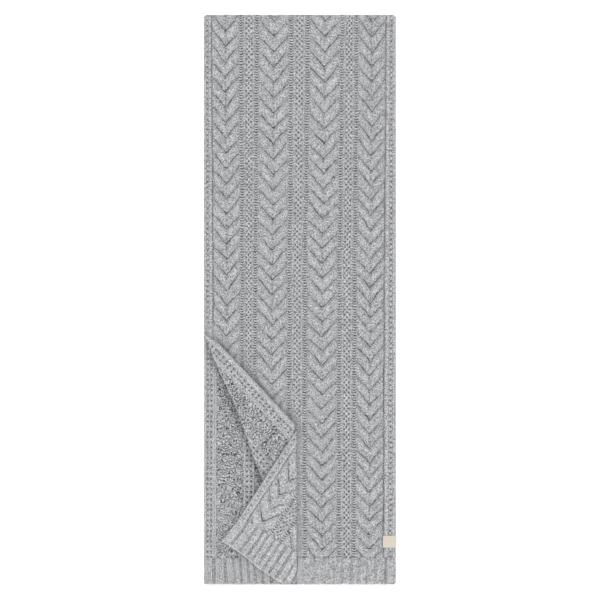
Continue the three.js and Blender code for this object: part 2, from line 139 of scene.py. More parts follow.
# A strand starts out level, curves up, and is uneven by a share of its rise, in two waves down the cable
STRAND_LEVEL, STRAND_CURVE = 0.05, 0.9
STRAND_UNEVEN, STRAND_WAVES, LEFT_SIDE_PHASE = 0.07, (9.3, 23), 1.9
LUMP_RELIEF, LUMP_ROW = 0.3, ROW / 0.8
# What lies between two cables, and between the left edge and its cable: where each strip ends, as a share of
# the whole, its kind and its wales
SPACER = ((0.225, LADDER, 1), (0.335, COLUMN, 1), (0.665, MOSS, 3), (0.775, COLUMN, 1), (1.0, LADDER, 1))
BORDER = ((0.3, COLUMN, 1), (0.51, MOSS, 1), (0.91, COLUMN, 1), (1.0, GROOVE, 1))
# The same seen from the back, where the rough backs of the cables are narrower
REVERSE_NARROWER = 2.2
REVERSE_SPACER = (
    (0.3, ROUGH, 2),
    (0.41, COLUMN, 1),
    (0.53, MOSS, 1),
    (0.62, COLUMN, 1),
    (0.74, MOSS, 1),
    (0.85, COLUMN, 1),
    (1.0, ROUGH, 1),
)
REVERSE_BORDER = (
    (0.22, COLUMN, 1),
    (0.37, MOSS, 1),
    (0.48, COLUMN, 1),
    (0.63, MOSS, 1),
    (0.95, COLUMN, 2),
    (1.0, ROUGH, 1),
)
REVERSE_BORDER_WIDER = 4.4
# Middles of the grooves between the hem's ribs, from the left edge
RIB_GROOVES = (
    15.6, 32.4, 45.6, 56, 67.7, 78, 89, 102, 116, 130, 142, 156, 172.2, 188.8,
    203, 216, 230, 242.5, 254.6, 268.2, 284.4,
)
RIB_GROOVE_WIDTH = 1.9
# How far up from the edge the grooves fade in and the painted highlight of the rim ends
RIB_FADE, RIB_RIM = (0.5, 5), (0.3, 3)
RIB_FINE, RIB_FOOT, REVERSE_RIB_SUNK = 0.2, 0.35, 0.3
# Beside each groove run a thin line of painted shade and a line of painted highlight
THIN_LINE_WIDTH, THIN_LINE_EVEN, LIGHT_LINE_PLACE, LIGHT_LINE_WIDTH = 0.7, 0.6, 1.7, 0.8
# The height over which the ribs give way to the cloth, and the stray of the seam's row of holes
SEAM_LOW, SEAM_HIGH, SEAM_STRAY = 1.5, 4.5, 1.2
SEAM_HOLE_HEIGHT, SEAM_HOLE_PITCH, SEAM_HOLE_DEPTH, HOLES_EVEN = 1.5, 7.2, 0.9, 0.55
# How dark the painted shade in the grooves, the thin lines and the holes is, and how light the painted
# highlights on the light lines and the rim are
GROOVE_SHADE, THIN_SHADE, HOLE_SHADE, LIGHT_SHADE, RIM_SHADE = 0.3, 0.26, 0.7, 0.16, 0.25
# On the reverse side: painted shade on the moss, a painted highlight on the knit columns, and how far the
# columns' stitch shade is softened
REVERSE_MOSS_SHADE, REVERSE_COLUMN_SHADE, REVERSE_COLUMN_SOFT = 0.08, 0.09, 0.3
# How far the lower hem leans to the right for each millimetre down, and over which stretch this sets in
BACK_HEM_LEAN, BACK_HEM_LEANS_FROM = 0.1, (10, 40)
# The share of a full groove in each hem. The upper layer's gets deeper to the right, and at its last groove
BACK_RIB_DEPTH, CORNER_RIB_DEPTH = 1.2, 1.5
FRONT_RIB_DEPTH, FRONT_RIB_DEEPER, FRONT_RIB_DEEPER_FROM = 0.4, 0.3, (0.66, 0.8)
LAST_RIB_DEEPER, LAST_RIB_REACH = 0.9, 6

# The unevenness of hand-laid cloth: the height of each wave, its reach across and down, and its phase
WOBBLE_WAVES = ((0.3, 37, 61, 1.3), (0.3, 23, -47, 0), (0.2, 11, 19, 0.7), (0.2, -17, 13, 0))

# The net: its points to a row of stitches, and its columns to a cable
NET_ROWS = 4
CABLE_STEPS, COARSE_CABLE_STEPS = 40, 4
COARSE_ROW = 5 * ROW
FRONT_BANDS = 3
FRONT_HEM_COLUMNS = 130
RIGHT_EDGE_COLUMNS = (1.2, 0.7, 0.3, 0)
# The lower layer shows this far across and from this far down, and its hidden columns are thinned out
BACK_SHOWN_ACROSS, BACK_SHOWN_DOWN = WIDTH / 2 - 2, 470
HIDDEN_SPACING, HIDDEN_COLUMNS = 100, 24
BACK_HEM_HIDDEN = (BACK_SHOWN_ACROSS + 40, WIDTH - 2, WIDTH - 1, WIDTH)
FLAP_START, FLAP_REACH_DOWN, FLAP_REACH_ACROSS = 0.5, 330, 170
CORNER_REACH_ACROSS = 180

# The turned corner in the plane: the first fold's ends, the corner's tip and outer corner. Then comes how far
# its folds reach, open, swell, sink and press, and how far its edges curl, tuck in and bow, with their reach
FIRST_FOLD_START = np.array((-149.0, -53.0))
FIRST_FOLD_END = np.array((-9.0, -402.0))
FIRST_FOLD_DOWN = FOLD_Y - FIRST_FOLD_START[1]
TIP = np.array((-8.5, -202.0))
CORNER = np.array((-122.0, -377.0))
FOLD_REACH = (FLAP_TOP - FRONT_UNDER) / 2
FOLD_OPENS = 45.0
CORNER_SLACK = 48.0
CORNER_STRETCH = 1.07
CORNER_RIB_HEIGHT = 45.5
HEM_BEND_HEIGHT = 60.0
FLAP_CURL, FLAP_CURL_REACH, CURL_EVEN = 5.2, 26.0, 0.8
# How far across the flap's places lie from its free edge's straight line, where the border is pulled wide
FLAP_PLACES, FLAP_SPREAD = (0, 4.5, 12.9, 19.5, WIDTH), (-6.5, 3.2, 11.2, 17.5, WIDTH - 2)
FLAP_PULL_STARTS, FLAP_PULL_ENDS = (-5, 30), (6, -10)
FLAP_LENGTH = np.linalg.norm(TIP - FIRST_FOLD_START)
# The first fold lies inside its straight line and waves, with the wave's place and length as shares of it
FOLD_TUCK, FOLD_WAVE, FOLD_WAVE_PLACE, FOLD_WAVE_LENGTH = 0.65, 1.55, 0.35, 0.5
FOLD_CLEARANCE = 0.3
FOLD_SWELL, FOLD_SWELL_REACH = 2.6, 10.0
PRESSED, PRESSED_REACH = 1.6, 9.0
CORNER_CURL, CORNER_CURL_REACH = 3.6, 20.0
CORNER_TUCK, CORNER_TUCK_ACROSS, CORNER_TUCK_UP = 3.1, 70, 40
CORNER_HEM_CURL, CORNER_HEM_REACH, CORNER_HEM_CURL_ENDS = 3.4, 26.0, (-60, -12)
CORNER_HEM_BOW, CORNER_HEM_BOW_ACROSS, CORNER_HEM_BOW_UP = 4.5, (35, 75), 40
HEM_BEND_SOFTNESS = 3.0
SECOND_FOLD_REACH, SECOND_FOLD_SUNK, SECOND_FOLD_SINKS = 3.4, 2.2, 22.0
FOOT_ROUND, TOP_CORNER_BEYOND = 3.5, 2
# The turn at the middle fold stands out, over this share of its half circle
TURN_STANDS_OUT, TURN_SHARE = 0.6, 0.45

# The painted shadow and the softened stitch shade of the knit beside the folds, painted light beside and on
# the turned corner, and the upper hem painted evenly darker, with how far they reach
BACK_FOLD_SHADE, BACK_FOLD_SHADE_REACH = 0.3, 5
FLAP_SHADE, FLAP_SOFT, FLAP_SHADE_ENDS, FLAP_SHADE_PAST_FOLD = 0.16, 0.65, (6, 32), 8
CORNER_LIGHT, CORNER_LIGHT_PLACE, CORNER_LIGHT_REACH, CORNER_LIGHT_STARTS = 0.1, 5, 8, 30
FRONT_HEM_SOFT, FRONT_HEM_SHADE, CORNER_SHADE = 0.5, 0.1, -0.11

# How far the knit strays across: slowly, and in quick jitter
SLOW_DRIFT, SLOW_DRIFT_SCALES, QUICK_DRIFT, QUICK_DRIFT_SCALE = 0.9, (0.8, 0.6), 0.7, 3

# The label's tape: the steps across its front and along it, its puff, and the section of its turn, given from
# its right edge and its top, and at its end from its right edge and the upper layer's underside
LABEL_STEPS, LABEL_ROWS = 14, 17
LABEL_PUFF, LABEL_RIPPLE = 0.25, 1.1
LABEL_FLAT_END = 1.5
LABEL_TURN = ((0.6, 0.1), (0, 0.9), (0, 2.2))
LABEL_TURN_END = (0.1, 0.6)

# The yarn's noises, as repeats to a metre, and how strong they are
FIBRE_SCALE, FLECK_SCALE, BEND_SCALE, SLOW_SCALE, PATCH_SCALE = 1100.0, 560.0, 130.0, 110.0, 75.0
FLECK_CONTRAST, PATCH_CONTRAST, SOFT_FLECKS = 7.0, 2.4, 0.7
FIBRE_HEIGHT, FLECK_HEIGHT, STITCH_BUMP = 0.35, 0.2, 1.1
# Painted shade: how dark the hollows are painted, how much darker low relief is painted, and the deepest
# painted shade as a share of the dark fibres
HOLLOW_DARKNESS, LOW_DARKNESS, DEEPEST = 0.85, 0.05, 0.3
# The stitches: slants and bows are in rows, widths in wales or in crossings, and hollows and lights are
# amounts of painted shade and painted highlight
LEG_SLANT, LEG_HOLLOW, SIDE_HOLLOW, RIDGE_LIGHT = 1.1, 0.5, 0.35, 0.24
RIB_LEG_HOLLOW, RIB_SIDE_HOLLOW = 0.16, 0.2
ARC_BOW, ARC_FADE, ARC_LIGHT, DOT_LIGHT = 2.0, 3.4, 0.08, 0.08
CREASE_BEND, CREASE_BREAKS, CREASE_WIDTH, CREASE_FADE = 0.32, 3.0, 0.065, 0.07
STRAND_STITCHES, PLY_SLANT, PLY_HOLLOW, PLY_ROW_HOLLOW = 5, 0.8, 0.2, 0.25
CENTRE_STITCHES, CENTRE_WIDTH, CENTRE_DEPTH = 6, 0.6, 1.3
PUFF_WIDTH, PUFF_HOLLOW, PUFF_LIGHT = 0.34, 0.26, 0.08
STROKE_SCALES, STROKE_NOISE, STROKE_STRAY = (0.62, 0.5, 0.0), 0.9, 4.6
STROKE_ROWS, STROKE_WIDTH, STROKE_LIGHT = 0.8, 0.21, 0.04
SIDE_WIDTH, RIDGE_WIDTH, RIB_SIDE_WIDTH = 0.2, 0.4, 0.22
CREASE_BROKEN, CREASE_START, GROOVE_WAVE = 1.1, 1.15, 0.4
# Depths of painted shade that vary in patches: the least, and how much more
ARC_DEPTH, DOT_DEPTH, CREASE_DEPTH = (1.7, 1.4), (1.05, 0.7), (0.35, 0.3)
STROKE_DEPTH, GROOVE_DEPTH = (1, 1.2), (0.15, 0.7)
# The tape's threads: their spacing, the painted shade between them as a share of the tape's colour, and their
# bump's strength and distance
THREAD, THREAD_SHADE, THREAD_STRENGTH, THREAD_BUMP = 0.9, 0.8, 0.5, 0.2

# The stage, in metres and degrees
FLOOR_REACH, FLOOR_LEVEL = 4.0, -0.0002
KEY_SPREAD, KEY_TILT = 40, (48, -14, 0)
CAMERA_WIDTH, CAMERA_PLACE, CAMERA_REACH = 0.9378, (0.0003, 0, 2.5), 20


def unit(vector):
    return vector / np.linalg.norm(vector)


def to_the_right(vector):
    return np.array((vector[1], -vector[0]))


ALONG_FOLD = unit(FIRST_FOLD_END - FIRST_FOLD_START)
FOLD_OUT = to_the_right(ALONG_FOLD)
FLAP_ALONG = unit(TIP - FIRST_FOLD_START)
FLAP_ACROSS = to_the_right(FLAP_ALONG)
CORNER_UP = unit(TIP - CORNER)
CORNER_ACROSS = to_the_right(CORNER_UP)


def smooth_step(low, high, value):
    share = np.clip((value - low) / (high - low), 0, 1)
    return share * share * (3 - 2 * share)


def faded(value, end):
    """1 at zero and below, falling to 0 at an end."""
    return 1 - smooth_step(0, end, value)


def mix(a, b, share):
    return a + (b - a) * share


def bell(distance, width):
    """1 at no distance, falling away on both sides."""
    return np.exp(-((distance / width) ** 2))


def wobble(across, down):
    """A slow unevenness of hand-laid cloth, between about -1 and 1."""
    return sum(high * np.sin(across / wide + down / tall + phase) for high, wide, tall, phase in WOBBLE_WAVES)


def segments(down, reverse=False):
    """The strips and cables from the left edge: the start, end, kind, wales and cable of each."""
    centres = [np.interp(down, (0, LENGTH / 2, LENGTH), cable.centres) for cable in CABLES]
    narrower = REVERSE_NARROWER if reverse else 0
    starts = [centre - cable.half + narrower for cable, centre in zip(CABLES, centres)]
    starts[0] = starts[0] + (REVERSE_BORDER_WIDER if reverse else 0)
    ends = [centre + cable.half - narrower for cable, centre in zip(CABLES, centres)]
    border, spacer = (REVERSE_BORDER, REVERSE_SPACER) if reverse else (BORDER, SPACER)
    found = []

    def fill(strips, left, right):
        reached = 0
        for share, kind, wales in strips:
            found.append((mix(left, right, reached), mix(left, right, share), kind, wales, None))
            reached = share

    fill(border, 0 * down, starts[0])
    for number, cable in enumerate(CABLES):
        found.append((starts[number], ends[number], CABLE, 0, cable))
        if number + 1 < len(CABLES):
            fill(spacer, ends[number], starts[number + 1])
    inner = [1 - strip[0] for strip in border[-2::-1]] + [1.0]
    fill([(share, *strip[1:]) for share, strip in zip(inner, border[::-1])], ends[-1], WIDTH + 0 * down)
    return found


def net_lines(down, reverse=False, coarse=False):
    """For each distance down, the places across of the net's columns, which follow the strips and cables."""
    lines = []
    for start, end, kind, wales, cable in segments(down, reverse):
        if cable:
            steps = COARSE_CABLE_STEPS if coarse else CABLE_STEPS
        else:
            steps = 1 if coarse or kind == GROOVE else 2 * wales + 2
        lines.extend(mix(start, end, step / steps) for step in range(steps))
    lines.append(WIDTH + 0 * down)
    return np.stack(lines, axis=1)


class Knit:
    """The cloth at places across and down: its relief, its hollows with their painted shade and painted
    highlights, and the numbers that draw its stitches.

    u counts wales, and a cable's crossings. v counts rows, and stitches out from a cable's middle.
    """

    def __init__(self, across, down, reverse=False, rib_height=RIB_HEIGHT, rib_depth=1.0):
        self.across, self.down = np.broadcast_arrays(across, down)
        shape = self.across.shape
        self.relief, self.soft = np.zeros(shape), np.zeros(shape)
        self.u, self.v = np.zeros(shape), self.down / ROW
        self.strand_u, self.strand_v = np.zeros(shape), np.zeros(shape)
        self.kind = np.full(shape, COLUMN)
        counted = 0
        for start, end, kind, wales, cable in segments(self.down, reverse):
            here = (self.across >= start - TOUCHING) & (self.across < end + TOUCHING)
            local = ((self.across - start) / (end - start))[here]
            if cable:
                kind = ROUGH if reverse else CABLE
                height = self.cable(cable, here, (start + end) / 2, reverse)
            else:
                height = self.strip(kind, local * wales, self.v[here]) * (REVERSE_SHARE if reverse else 1)
            self.u[here] = counted + local * wales
            self.relief[here] = height
            self.kind[here] = kind
            counted += wales
        self.hem(reverse, rib_height, rib_depth)

    def cable(self, cable, here, centre, reverse):
        down, across = self.down[here], self.across[here]
        out = np.minimum(np.abs(across - centre[here]) / cable.half, 1)
        side = np.where(across < centre[here], LEFT_SIDE_PHASE, 0) + cable.half + cable.first
        waves = [np.sin(down / wave + (number + 1) * side) for number, wave in enumerate(STRAND_WAVES)]
        curved = (np.hypot(out, STRAND_LEVEL) - STRAND_LEVEL) ** STRAND_CURVE
        rise = np.interp(down, (0, LENGTH), cable.rise) * curved * (1 + STRAND_UNEVEN * sum(waves))
        rest = cable.repeat**2 - 4 * cable.shorter * (down + rise - cable.first)
        turns = (cable.repeat - np.sqrt(rest)) / 2 / cable.shorter
        share = turns - np.floor(turns)
        if reverse:
            swell = 0.5 + 0.5 * np.cos(2 * math.pi * share) * (1 - out**4)
            return ROUGH_RELIEF * swell + self.lumps(across, down)
        self.strand_u[here], self.strand_v[here] = turns, out * cable.half / STRAND_ROW
        strand = mix(CREASE_SHARE, 1, np.sin(math.pi * share) ** 0.5)
        middle = mix(MIDDLE_SHARE, 1, smooth_step(0, MIDDLE_REACH, out))
        return CABLE_RELIEF * strand * middle * (1 - out**6) ** 0.5

    @staticmethod
    def lumps(across, down):
        bent = math.pi * across / WALE + np.sin(down / 5)
        return LUMP_RELIEF * np.cos(bent) * np.cos(2 * math.pi * down / LUMP_ROW)

    @staticmethod
    def strip(kind, wale, row):
        local = wale - np.floor(wale)
        raised = np.clip(1 - np.abs(2 * local - 1) ** 3, 0, 1) ** 0.5
        if kind == COLUMN:
            return KNIT_COLUMN_RELIEF * raised
        if kind == MOSS:
            lift = np.cos(math.pi / 2 * (row + np.floor(wale))) ** 2
            return MOSS_GROUND + MOSS_RELIEF * np.sin(math.pi * local) ** 0.8 * lift
        return LADDER_RELIEF * raised * np.cos(math.pi * row) ** 2

    def hem(self, reverse, rib_height, rib_depth):
        """Turns the last stretch to ribs, with a row of holes above them."""
        across, up = self.across, LENGTH - self.down
        ribbed = smooth_step(*RIB_FADE, up)
        nearest = np.min([np.abs(across - groove) for groove in RIB_GROOVES], axis=0)
        groove = bell(nearest, RIB_GROOVE_WIDTH) * rib_depth * ribbed
        fine = 0.5 + 0.5 * np.cos(2 * math.pi * across / WALE)
        rib = RIB_GROUND - RIB_GROOVE * groove - RIB_FINE * fine * ribbed + RIB_FOOT * (1 - ribbed)
        if reverse:
            rib = rib * REVERSE_SHARE - REVERSE_RIB_SUNK
        pitch = 0.5 + 0.5 * np.cos(2 * math.pi * across / SEAM_HOLE_PITCH + 2 * wobble(across * 3, up))
        seam = rib_height + SEAM_STRAY * wobble(across * 2, 0 * up)
        holes = bell(up - seam, SEAM_HOLE_HEIGHT) * pitch**2 * mix(wobble(across * 4, 0 * up), 1, HOLES_EVEN)
        cloth = smooth_step(rib_height - SEAM_LOW, rib_height + SEAM_HIGH, up)
        self.relief = mix(rib, self.relief, cloth) - SEAM_HOLE_DEPTH * holes
        # A thin line of painted shade beside each groove, and a line of painted highlight a little further
        # out
        thin = bell(nearest - RIB_GROOVE_WIDTH, THIN_LINE_WIDTH)
        thin = thin * (THIN_LINE_EVEN + wobble(across * 2, up * 2))
        light = bell(nearest - RIB_GROOVE_WIDTH - LIGHT_LINE_PLACE, LIGHT_LINE_WIDTH)
        # Painted shade in the grooves and on the thin lines, less painted highlights on the light lines and
        # on the rim at the edge
        lines = GROOVE_SHADE * groove + (THIN_SHADE * thin - LIGHT_SHADE * light) * ribbed * rib_depth
        lines = lines - RIM_SHADE * (1 - smooth_step(*RIB_RIM, up))
        ended = smooth_step(rib_height - 1, rib_height + 1, up)
        # Painted shade in the seam's holes
        self.hollow_and_painted_shade = mix(lines, 0, ended) + HOLE_SHADE * holes
        self.kind = np.where(up < rib_height, RIB, self.kind)
        if reverse:
            # Painted shade on the reverse moss, and a painted highlight on the reverse knit columns, whose
            # stitch shade is softened
            column, moss = self.kind == COLUMN, self.kind == MOSS
            self.soft = REVERSE_COLUMN_SOFT * column
            self.hollow_and_painted_shade = self.hollow_and_painted_shade + REVERSE_MOSS_SHADE * moss - REVERSE_COLUMN_SHADE * column


def cell_centres(values):
    return (values[:-1, :-1] + values[:-1, 1:] + values[1:, 1:] + values[1:, :-1]) / 4


class Net:
    """A net of columns across and rows down the cloth, and the cells of it that are kept."""

    def __init__(self, across, down, reverse=False, rib_height=RIB_HEIGHT, rib_depth=1.0):
        self.across, self.down = np.broadcast_arrays(across, down)
        self.knit = Knit(self.across, self.down, reverse, rib_height, rib_depth)
        self.kinds = Knit(cell_centres(self.across), cell_centres(self.down), reverse, rib_height).kind
        self.keep = np.ones(self.kinds.shape, bool)

    def keep_where(self, wanted):
        """Keeps the cells with a corner at a wanted point."""
        self.keep &= wanted[:-1, :-1] | wanted[:-1, 1:] | wanted[1:, 1:] | wanted[1:, :-1]

    def mesh(self, name, top, under, face_down=False):
        """A closed mesh between two nets of points, or between one and a level."""
        index = np.arange(self.across.size).reshape(self.across.shape)
        quads = np.stack([index[:-1, :-1], index[1:, :-1], index[1:, 1:], index[:-1, 1:]], axis=-1)[self.keep]
        if face_down:
            quads = quads[:, ::-1]
        edges = np.concatenate([quads[:, [k, (k + 1) % 4]] for k in range(4)])
        codes = edges[:, 0] * index.size + edges[:, 1]
        rim = edges[~np.isin(codes, edges[:, 1] * index.size + edges[:, 0])]
        upper = top.reshape(-1, 3)
        if np.ndim(under) == 0:
            lower = np.column_stack([upper[:, :2], np.full(len(upper), under)])
            floor = [self.loop(rim) + index.size]
        else:
            lower = under.reshape(-1, 3)
            floor = quads[:, ::-1] + index.size
        walls = np.stack([rim[:, 1], rim[:, 0], rim[:, 0] + index.size, rim[:, 1] + index.size], axis=-1)
        faces = [*quads.tolist(), *walls.tolist(), *(list(map(int, face)) for face in floor)]
        used, places = np.unique(np.concatenate([np.ravel(face) for face in faces]), return_inverse=True)
        mesh = bpy.data.meshes.new(name)
        places = iter(places.tolist())
        faces = [[next(places) for _ in face] for face in faces]
        mesh.from_pydata((np.concatenate([upper, lower])[used] * MM).tolist(), [], faces)
        mesh.polygons.foreach_set("use_smooth", [True] * len(quads) + [False] * (len(faces) - len(quads)))
        self.store_stitches(mesh, quads, used)
        mesh.update()
        return mesh

    @staticmethod
    def loop(rim):
        """The rim's points in order, against the way of the cells."""
        following = dict(zip(rim[:, 1].tolist(), rim[:, 0].tolist()))
        start = point = int(rim[0, 0])
        loop = []
        while not loop or point != start:
            loop.append(point)
            point = following[point]
        return np.array(loop)

    def store_stitches(self, mesh, quads, used):
        """Stores the stitch numbers and kind of each cell's corners, and each point's surface: its relief,
        its hollows' painted shade and highlights, and its softness.
        """
        knit, kinds = self.knit, np.repeat(self.kinds[self.keep], 4)
        flat = quads.reshape(-1)
        strand_u, strand_v, across, u, v = (
            values.reshape(-1)[flat] for values in (knit.strand_u, knit.strand_v, knit.across, knit.u, knit.v)
        )
        u = np.where(kinds == CABLE, strand_u, u)
        u = np.where((kinds == RIB) | (kinds == ROUGH), across / WALE, u)
        v = np.where(kinds == CABLE, strand_v, v)
        numbers = np.full((len(mesh.loops), 3), -1, np.float32)
        numbers[: len(flat)] = np.stack([u, v, kinds], axis=1)
        surface = np.stack([knit.relief, knit.hollow_and_painted_shade, knit.soft], axis=-1).reshape(-1, 3)
        both = np.concatenate([surface, np.zeros_like(surface)])[used].astype(np.float32)
        for name, domain, values in (("stitch", "CORNER", numbers), ("surface", "POINT", both)):
            attribute = mesh.attributes.new(name, "FLOAT_VECTOR", domain)
            attribute.data.foreach_set("vector", values.reshape(-1))


def rolled(from_edge, reach=EDGE_ROUND):
    """How far a surface has sunk where it rolls down to an edge."""
    inside = np.clip(from_edge / reach, 0, 1)
    return (1 - np.sqrt(1 - (1 - inside) ** 2)) * reach


def drift(across, down):
    """How far the knit strays across, away from the straight edges."""
    inside = np.sin(math.pi * np.clip(across / WIDTH, 0, 1)) ** 0.4
    slow = wobble(down * SLOW_DRIFT_SCALES[0], across * SLOW_DRIFT_SCALES[1])
    quick = wobble(down * QUICK_DRIFT_SCALE, across * QUICK_DRIFT_SCALE)
    return (SLOW_DRIFT * slow + QUICK_DRIFT * quick) * inside


def tapered(across, down):
    """How far the side edges draw in at the rounded corners beside the hem and the middle fold."""
    near = FOOT_ROUND - np.clip(np.minimum(LENGTH - down, down + TOP_CORNER_BEYOND), 0, FOOT_ROUND)
    drawn = FOOT_ROUND - np.sqrt(FOOT_ROUND**2 - near**2)
    return drawn * (1 - 2 * np.clip(across / WIDTH, 0, 1))


def front_place(across, down, relief):
    """The upper layer: flat, and past the fold round and down to the surface that the scarf lies on."""
    radius = FRONT_TOP / 2
    angle = np.clip((radius - down) / radius, 0, math.pi)
    level = FRONT_GROUND - radius + relief + FRONT_UNEVEN * wobble(across, down)
    lift = mix(level, radius + TURN_STANDS_OUT, smooth_step(0, math.pi * TURN_SHARE, angle))
    lift = lift - rolled(np.minimum(across, WIDTH - across)) - rolled(LENGTH - down)
    y = np.where(down > radius, FOLD_Y - down, FOLD_Y - radius + lift * np.sin(angle))
    x = LEFT + across + drift(across, down) + tapered(across, down)
    return np.stack([x, y, np.maximum(radius + lift * np.cos(angle), SHEET_FLOOR)], axis=-1)


def front_start(y):
    """Where the upper layer starts on the left: at its edge, or at the first fold below its turn."""
    share = (FIRST_FOLD_START[1] - y) / (FIRST_FOLD_START[1] - FIRST_FOLD_END[1])
    inset = FOLD_REACH / abs(FOLD_OUT[0]) * smooth_step(0, FOLD_OPENS / LENGTH * 2, share)
    fold = mix(FIRST_FOLD_START[0], FIRST_FOLD_END[0], np.clip(share, 0, 1)) + inset
    return np.where(share > 0, fold, LEFT - 1)


def from_first_fold(points):
    """The distance from the first fold's line, and how far the fold has opened there."""
    distance = (points[..., :2] - FIRST_FOLD_START) @ FOLD_OUT
    return distance, smooth_step(0, FOLD_OPENS, FIRST_FOLD_START[1] - points[..., 1])


def back_place(across, down, relief):
    """The lower layer: flat, with its reverse side up."""
    level = np.minimum(REVERSE_GROUND + relief, BACK_TOP) - rolled(np.minimum(across, WIDTH - across))
    level = level - rolled(LENGTH - down)
    lean = BACK_HEM_LEAN * np.maximum(down - HEM_START, 0)
    lean = lean * smooth_step(*BACK_HEM_LEANS_FROM, across) * (1 - smooth_step(WIDTH / 3, WIDTH / 2, across))
    x = LEFT + across + drift(across, down) + lean + tapered(across, np.maximum(down, LENGTH / 2))
    points = np.stack([x, FOLD_Y - down, level], axis=-1)
    from_fold, opened = from_first_fold(points)
    points[..., 2] -= PRESSED * bell(from_fold, PRESSED_REACH) * opened
    return points


def fold_tuck(place):
    """How far inside its straight line the first fold lies, at places given from the fold's start."""
    share = place @ ALONG_FOLD / np.linalg.norm(FIRST_FOLD_END - FIRST_FOLD_START)
    return FOLD_TUCK + FOLD_WAVE * np.cos(2 * math.pi * (share - FOLD_WAVE_PLACE) / FOLD_WAVE_LENGTH)


def flap_inset(along):
    """How far inside the first fold's line its rounding begins."""
    return FOLD_REACH * smooth_step(0, FOLD_OPENS, along) + FOLD_CLEARANCE


def flap_plan(across, along):
    """Where the flap's places lie in the plane, before the first fold is rounded."""
    before_tip = np.sqrt(smooth_step(*FLAP_PULL_ENDS, along - FLAP_LENGTH))
    spread = np.interp(across, FLAP_PLACES, FLAP_SPREAD)
    across = mix(across, spread, smooth_step(*FLAP_PULL_STARTS, along) * before_tip)
    return along[..., None] * FLAP_ALONG + across[..., None] * FLAP_ACROSS


def past_fold(place, along):
    """How far the flap's places lie past the line where the first fold's rounding begins."""
    return place @ FOLD_OUT + flap_inset(along) + fold_tuck(place) * smooth_step(0, FOLD_OPENS, along)


def flap_place(across, down, relief):
    """The flap: from its free edge across to the first fold, and round that down to the upper layer."""
    along = down - FIRST_FOLD_DOWN
    place = flap_plan(across, along)
    inset = flap_inset(along)
    opened = smooth_step(0, FOLD_OPENS, along)
    beyond = past_fold(place, along)
    past = np.maximum(beyond, 0)
    curl = FLAP_CURL * faded(across, FLAP_CURL_REACH) * opened * mix(wobble(along, across), 1, CURL_EVEN)
    swell = FOLD_SWELL * np.exp(np.minimum(beyond, 0) / FOLD_SWELL_REACH)
    ground = mix(FRONT_GROUND + EDGE_ROUND, FLAP_GROUND, opened) + swell
    rise = (ground - FRONT_UNDER) / 2
    angle = np.minimum(2 * past / (inset + rise), math.pi)
    lift = rise + relief + curl - rolled(across)
    plan = FIRST_FOLD_START + place + FOLD_OUT * (inset * np.sin(angle) - past)[..., None]
    return np.concatenate([plan, (FRONT_UNDER + rise + lift * np.cos(angle))[..., None]], axis=-1)


def corner_under(x, y):
    """The level of the corner's underside, which sinks from the flap to the lower layer and to the hem."""
    from_fold = (np.stack([x, y], axis=-1) - FIRST_FOLD_START) @ FOLD_OUT
    share = smooth_step(-CORNER_SLACK, 0, -from_fold) * smooth_step(HEM_Y, SEAM_Y, y)
    return mix(FRONT_UNDER, CORNER_UNDER, share)


def corner_place(across, down, relief):
    """The corner: from its edge across to the second fold, and round that down to what is below."""
    up = LENGTH - down
    tuck = CORNER_TUCK * faded(across, CORNER_TUCK_ACROSS) * smooth_step(0, CORNER_TUCK_UP, up)
    bow = CORNER_HEM_BOW * smooth_step(*CORNER_HEM_BOW_ACROSS, across) * faded(up, CORNER_HEM_BOW_UP)
    raised = up * CORNER_STRETCH - bow
    place = CORNER + (across + tuck)[..., None] * CORNER_ACROSS + raised[..., None] * CORNER_UP
    inner = SECOND_FOLD_X - SECOND_FOLD_REACH
    past = np.maximum(place[..., 0] - inner, 0)
    x = np.minimum(place[..., 0], inner)
    hem = CORNER[1] + (place[..., 0] - CORNER[0]) * CORNER_ACROSS[1] / CORNER_ACROSS[0]
    short = (CORNER_HEM_Y - hem + np.hypot(CORNER_HEM_Y - hem, HEM_BEND_SOFTNESS)) / 2
    y = place[..., 1] + short * faded(up, HEM_BEND_HEIGHT)
    y = np.maximum(y, CORNER_HEM_Y)
    sunk = SECOND_FOLD_SUNK * smooth_step(inner - SECOND_FOLD_SINKS, inner, x)
    under = corner_under(x, y) - sunk
    low = np.maximum(FRONT_UNDER, under - (CORNER_UNDER - FLAP_UNDER))
    rise = (under + WALL - low) / 2
    angle = np.minimum(2 * past / (SECOND_FOLD_REACH + rise), math.pi)
    curl = CORNER_CURL * faded(across, CORNER_CURL_REACH)
    hem_curl = CORNER_HEM_CURL * faded(up, CORNER_HEM_REACH)
    curl = np.maximum(curl, hem_curl * (1 - smooth_step(*CORNER_HEM_CURL_ENDS, x)))
    lift = rise + relief + curl - rolled(np.minimum(across, up))
    level = low + rise + lift * np.cos(angle)
    return np.stack([x + SECOND_FOLD_REACH * np.sin(angle), y, level], axis=-1)


def rows(start, end, spacing=ROW / NET_ROWS):
    """Even rows from one distance down to another, as a column."""
    return np.linspace(start, end, max(2, round((end - start) / spacing) + 1))[:, None]


def add_object(name, data):
    added = bpy.data.objects.new(name, data)
    bpy.context.scene.collection.objects.link(added)
    return added


def add_piece(name, mesh, material, node):
    """Puts a mesh in the scene as a piece that stands for a node."""
    piece = add_object(name, mesh)
    mesh.materials.append(material)
    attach(piece, "root")
    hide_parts(node)
    return piece


def add_cloth(name, net, place, node, under=None):
    """Adds a net as a piece of cloth, laid by a function that gives the place of each of its points."""
    top = place(net.across, net.down, net.knit.relief)
    if under is None:
        under = place(net.across, net.down, 0 * net.knit.relief - SHEET_SHARE * WALL)
    mesh = net.mesh(name, top, under)
    piece = add_piece(name, mesh, knit_material(), node)
    return piece


